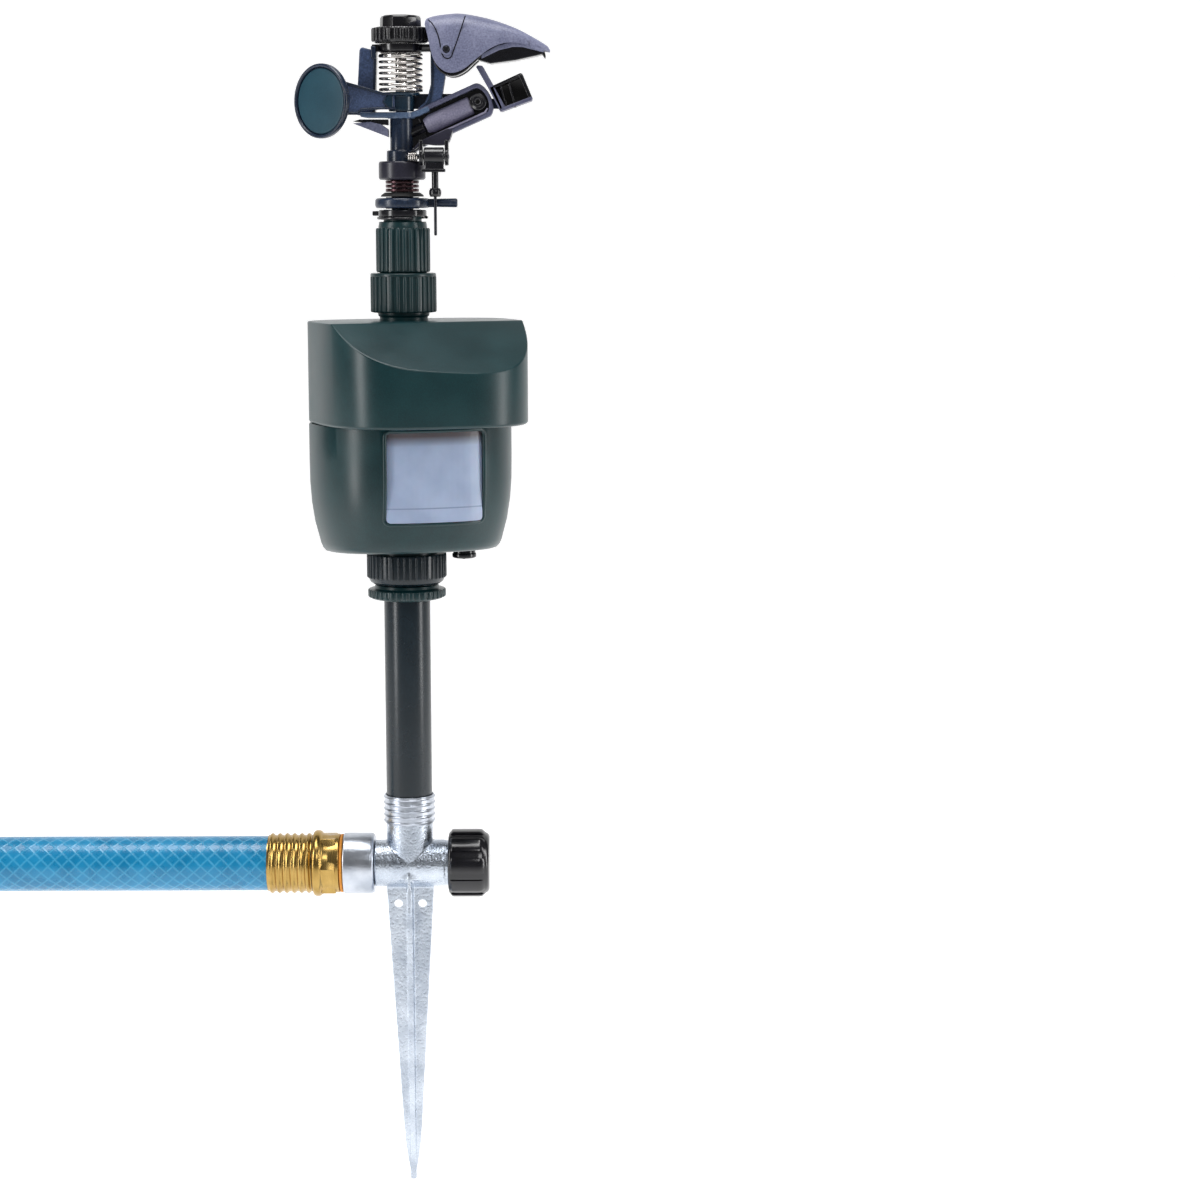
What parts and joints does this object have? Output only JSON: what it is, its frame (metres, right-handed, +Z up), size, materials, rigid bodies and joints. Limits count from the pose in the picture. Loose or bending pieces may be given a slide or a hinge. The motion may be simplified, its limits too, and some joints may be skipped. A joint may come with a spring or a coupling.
{
  "type": "motion-activated impact sprinkler",
  "caption": "Impact sprinkler head on a motion-sensing valve housing, a riser and a tee with a ground spike; its hose lead ends in a brass coupling.",
  "frame": {"origin": "on the stem's vertical axis at ground level, where the spike's blades meet the tee", "axes": "+Z up along the stem, +X towards the side the jet leaves, -Y the front"},
  "size_m": [0.3372, 0.1075, 0.6078],
  "materials": {
    "green_plastic": "satin moulded, dark bottle green",
    "black_plastic": "gloss moulded",
    "slate_plastic": "fine spark-eroded texture",
    "blue_plastic": "spark-eroded texture",
    "teal_plastic": "satin moulded",
    "zinc": null,
    "steel": "bright drawn wire and turned pin",
    "brass": "turned and crimped",
    "rubber": "moulded seal",
    "orange_rubber": "moulded washer",
    "blue_vinyl": "clear blue vinyl over a braid",
    "lens": "milky sheet lens, satin",
    "circuit_board": "solder mask",
    "battery": "printed steel can",
    "copper": "wound wire and sintered bronze"
  },
  "bodies": {
    "base": {"adaptor": "green_plastic", "battery_1": "battery", "battery_2": "battery", "battery_3": "battery", "battery_4": "battery", "battery_tray": "black_plastic", "bearing_sleeve": "black_plastic", "cap_washer": "rubber", "cone_washer": "rubber", "far_coupling": "brass", "far_ferrule": "brass", "flange_ring": "green_plastic", "hose": "blue_vinyl", "hose_ferrule": "brass", "hose_fitting": "brass", "housing_hood": "green_plastic", "housing_shell": "green_plastic", "inlet_washer": "rubber", "orange_washer": "orange_rubber", "outlet_washer": "rubber", "pir_sensor": "steel", "riser_seal": "rubber", "riser_tube": "green_plastic", "sensor_board": "circuit_board", "sensor_lens": "lens", "solenoid_coil": "copper", "spike_tee": "zinc", "thrust_washer_1": "copper", "thrust_washer_2": "copper", "thrust_washer_3": "copper", "valve_body": "black_plastic"},
    "inlet_nut": {"inlet_nut": "zinc"},
    "riser_nut": {"riser_nut": "green_plastic"},
    "swivel_nut": {"swivel_nut": "green_plastic"},
    "end_cap": {"end_cap": "black_plastic"},
    "range_dial": {"range_dial": "black_plastic"},
    "battery_door": {"battery_door": "green_plastic"},
    "solenoid_plunger": {"solenoid_plunger": "steel"},
    "lower_trip_ring": {"lower_trip_ring": "black_plastic"},
    "upper_trip_ring": {"upper_trip_ring": "green_plastic"},
    "head": {"head_body": "blue_plastic", "nozzle_sleeve": "slate_plastic", "rear_spreader": "black_plastic", "fulcrum_pin": "steel", "arm_spring": "steel", "deflector_pin": "steel", "lever_axle": "steel", "trip_spring": "steel"},
    "diffuser_screw": {"diffuser_screw": "black_plastic"},
    "arm": {"impact_arm": "blue_plastic", "counterweight": "black_plastic", "counterweight_face": "teal_plastic"},
    "tension_cap": {"tension_cap": "black_plastic"},
    "deflector": {"deflector": "slate_plastic", "deflector_lip": "black_plastic"},
    "trip_lever": {"trip_lever": "black_plastic", "rod_nut": "black_plastic", "trip_wire": "steel"}
  },
  "joints": [
    {"name": "inlet_nut_spin", "type": "hinge", "parent": "base", "child": "inlet_nut", "pos_m": [-0.026, 0, 0.0133], "axis": [1, 0, 0], "continuous": true},
    {"name": "riser_nut_turn", "type": "hinge", "parent": "base", "child": "riser_nut", "pos_m": [0, 0, 0.169], "axis": [0, 0, 1], "continuous": true},
    {"name": "swivel_nut_turn", "type": "hinge", "parent": "base", "child": "swivel_nut", "pos_m": [0, 0, 0.31], "axis": [0, 0, 1], "continuous": true},
    {"name": "end_cap_turn", "type": "hinge", "parent": "base", "child": "end_cap", "pos_m": [0.031, 0, 0.0133], "axis": [1, 0, 0], "continuous": true},
    {"name": "range_dial_turn", "type": "hinge", "parent": "base", "child": "range_dial", "pos_m": [0.03, -0.004, 0.176], "axis": [0, 0, 1], "range_deg": [0, 270]},
    {"name": "battery_door_slide", "type": "slide", "parent": "base", "child": "battery_door", "axis": [-0.3338, 0.9426, 0], "range_m": [0, 0.04]},
    {"name": "plunger_stroke", "type": "slide", "parent": "base", "child": "solenoid_plunger", "axis": [-0.9426, -0.3338, 0], "range_m": [0, 0.0025], "stiffness_N_per_m": 120},
    {"name": "lower_trip_turn", "type": "hinge", "parent": "base", "child": "lower_trip_ring", "pos_m": [0, 0, 0.3505], "axis": [0, 0, 1], "range_deg": [-50, 0]},
    {"name": "upper_trip_turn", "type": "hinge", "parent": "base", "child": "upper_trip_ring", "pos_m": [0, 0, 0.3557], "axis": [0, 0, 1], "range_deg": [0, 50]},
    {"name": "head_turn", "type": "hinge", "parent": "base", "child": "head", "pos_m": [0, 0, 0.38], "axis": [0, 0, 1], "range_deg": [-170, 20]},
    {"name": "arm_swing", "type": "hinge", "parent": "head", "child": "arm", "pos_m": [0, 0, 0.406], "axis": [0, 0, 1], "range_deg": [0, 90], "stiffness_Nm_per_rad": 0.02, "springref_deg": -22.92},
    {"name": "tension_cap_turn", "type": "hinge", "parent": "head", "child": "tension_cap", "pos_m": [0, 0, 0.4394], "axis": [0, 0, 1], "continuous": true},
    {"name": "diffuser_screw_turn", "type": "hinge", "parent": "head", "child": "diffuser_screw", "pos_m": [0.03892, 0, 0.40613], "axis": [0, -1, 0], "continuous": true},
    {"name": "deflector_tilt", "type": "hinge", "parent": "head", "child": "deflector", "pos_m": [0.0237, 0, 0.4318], "axis": [0, 1, 0], "range_deg": [0, 4]},
    {"name": "trip_lever_flip", "type": "hinge", "parent": "head", "child": "trip_lever", "pos_m": [0.017, -0.011, 0.3788], "axis": [1, 0, 0], "range_deg": [-18, 0], "stiffness_Nm_per_rad": 0.004}
  ]
}
